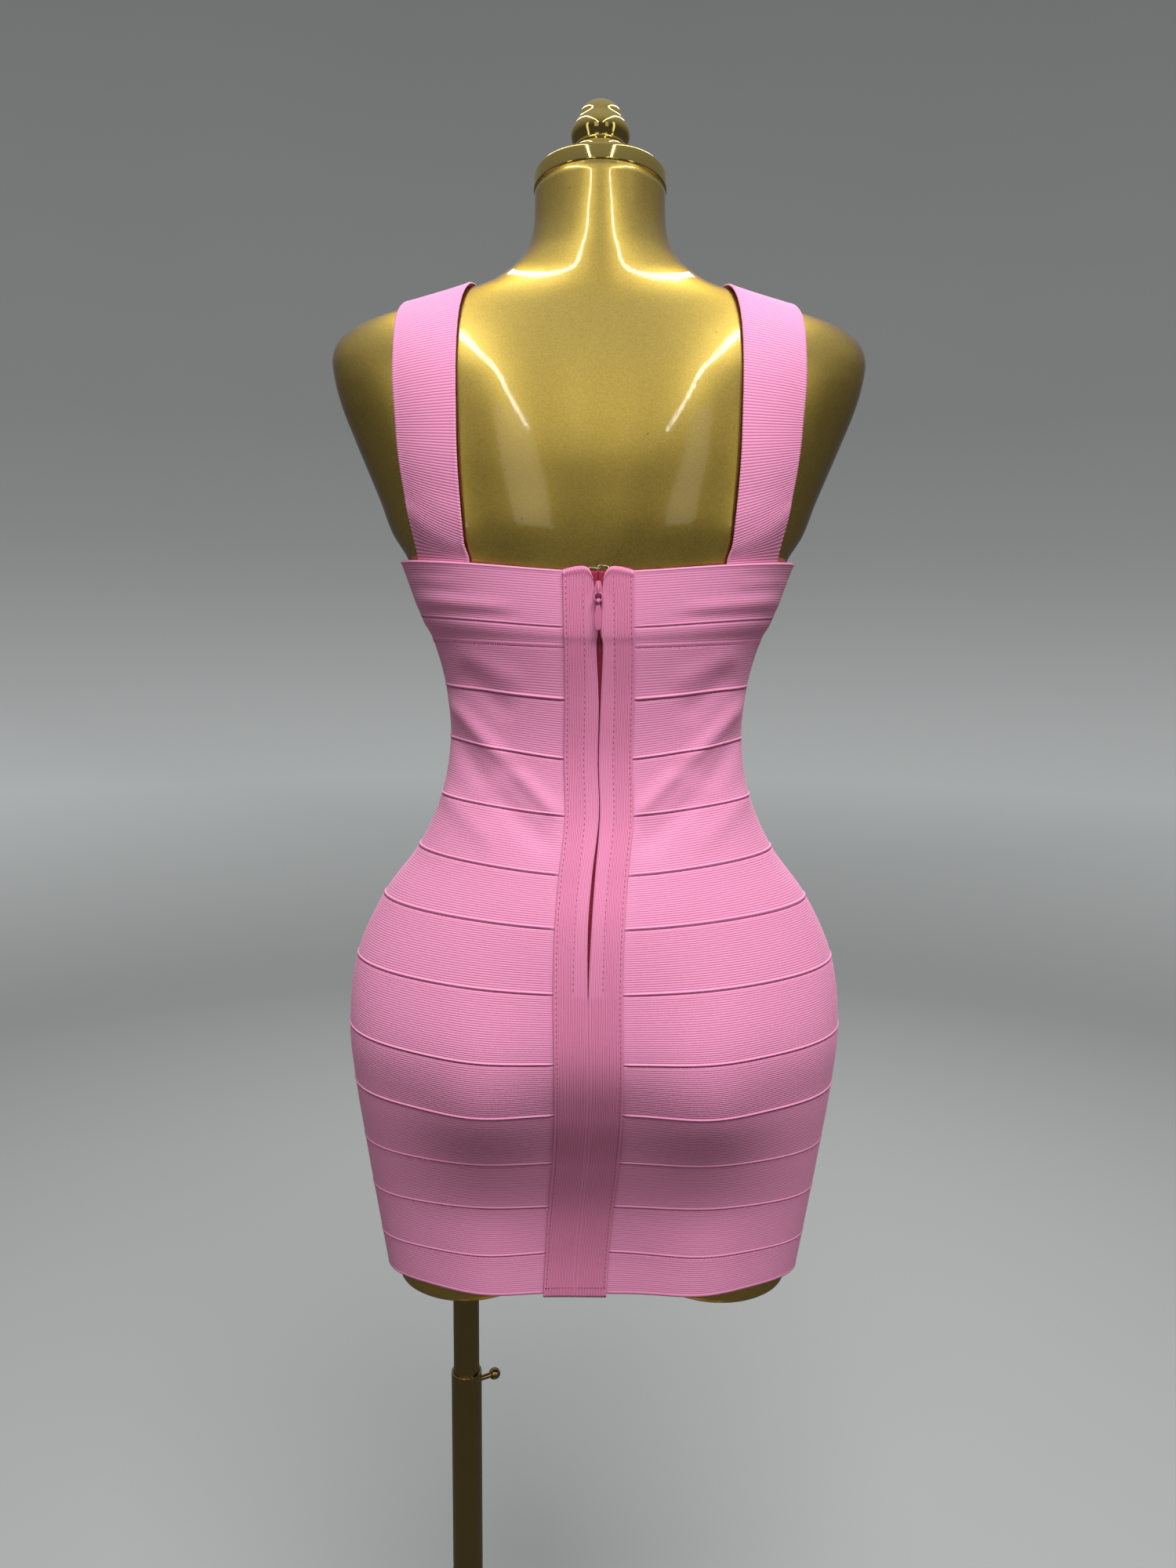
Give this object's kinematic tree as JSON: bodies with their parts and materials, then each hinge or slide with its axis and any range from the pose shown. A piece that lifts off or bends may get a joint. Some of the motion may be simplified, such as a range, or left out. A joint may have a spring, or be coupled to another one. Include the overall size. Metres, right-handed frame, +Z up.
{
  "type": "bodycon dress on dress form",
  "caption": "Sleeveless panelled knit bodycon mini dress with wide straps and a centre-back zip, shown on a limbless gold dress form and telescopic stand.",
  "frame": {"origin": "centre of the base plate's underside, on the floor", "axes": "+Z up; the front of the dress faces -Y and the wearer's left is +X"},
  "size_m": [0.394, 0.38, 1.5649],
  "materials": {
    "pink_knit": "matt elastic knit with fine horizontal ribs, baby pink",
    "pink_rib": "matt ribbed elastic tape, baby pink",
    "zip_tape": "woven zip tape and coil in shade, deep rose",
    "pink_enamel": "smooth pink enamel",
    "hook_wire": "bright bent wire",
    "gold_paint": "glossy metallic gold paint",
    "gold_plate": "mirror-bright gold plate",
    "stand_plate": "bright gold plate, a little darker"
  },
  "bodies": {
    "stand": {"base_plate": "stand_plate", "base_socket": "stand_plate", "outer_tube": "stand_plate"},
    "clamp": {"clamp_screw": "stand_plate"},
    "pole": {"inner_tube": "stand_plate"},
    "form": {"dress_form": "gold_paint", "neck_cap": "gold_plate", "finial": "gold_plate", "band_01": "pink_knit", "band_02": "pink_knit", "band_03": "pink_knit", "band_04": "pink_knit", "band_05": "pink_knit", "band_06": "pink_knit", "band_07": "pink_knit", "band_08": "pink_knit", "band_09": "pink_knit", "band_10": "pink_knit", "band_11": "pink_knit", "band_12": "pink_knit", "band_13": "pink_knit", "band_14": "pink_knit", "strap_left": "pink_rib", "strap_right": "pink_rib", "placket_left": "pink_rib", "placket_right": "pink_rib", "zip_tape_left": "zip_tape", "zip_tape_right": "zip_tape", "zip_slider": "pink_enamel", "hook": "hook_wire", "eye": "hook_wire"},
    "zip_link": {"zip_link": "pink_enamel"},
    "zip_pull": {"zip_pull": "pink_enamel"}
  },
  "joints": [
    {"name": "clamp_turn", "type": "hinge", "parent": "stand", "child": "clamp", "pos_m": [0.104, 0, 0.556], "axis": [-0.8572, -0.515, 0], "continuous": true},
    {"name": "pole_height", "type": "slide", "parent": "stand", "child": "pole", "axis": [0, 0, 1], "range_m": [-0.07, 0.2]},
    {"name": "form_swivel", "type": "hinge", "parent": "pole", "child": "form", "pos_m": [0.104, 0, 0.6], "axis": [0, 0, 1], "continuous": true},
    {"name": "link_swing", "type": "hinge", "parent": "form", "child": "zip_link", "pos_m": [-0.0002, 0.09695, 1.206], "axis": [1, 0, 0], "range_deg": [0, 100]},
    {"name": "pull_swing", "type": "hinge", "parent": "zip_link", "child": "zip_pull", "pos_m": [-0.0002, 0.09695, 1.2002], "axis": [1, 0, 0], "range_deg": [0, 80]}
  ]
}
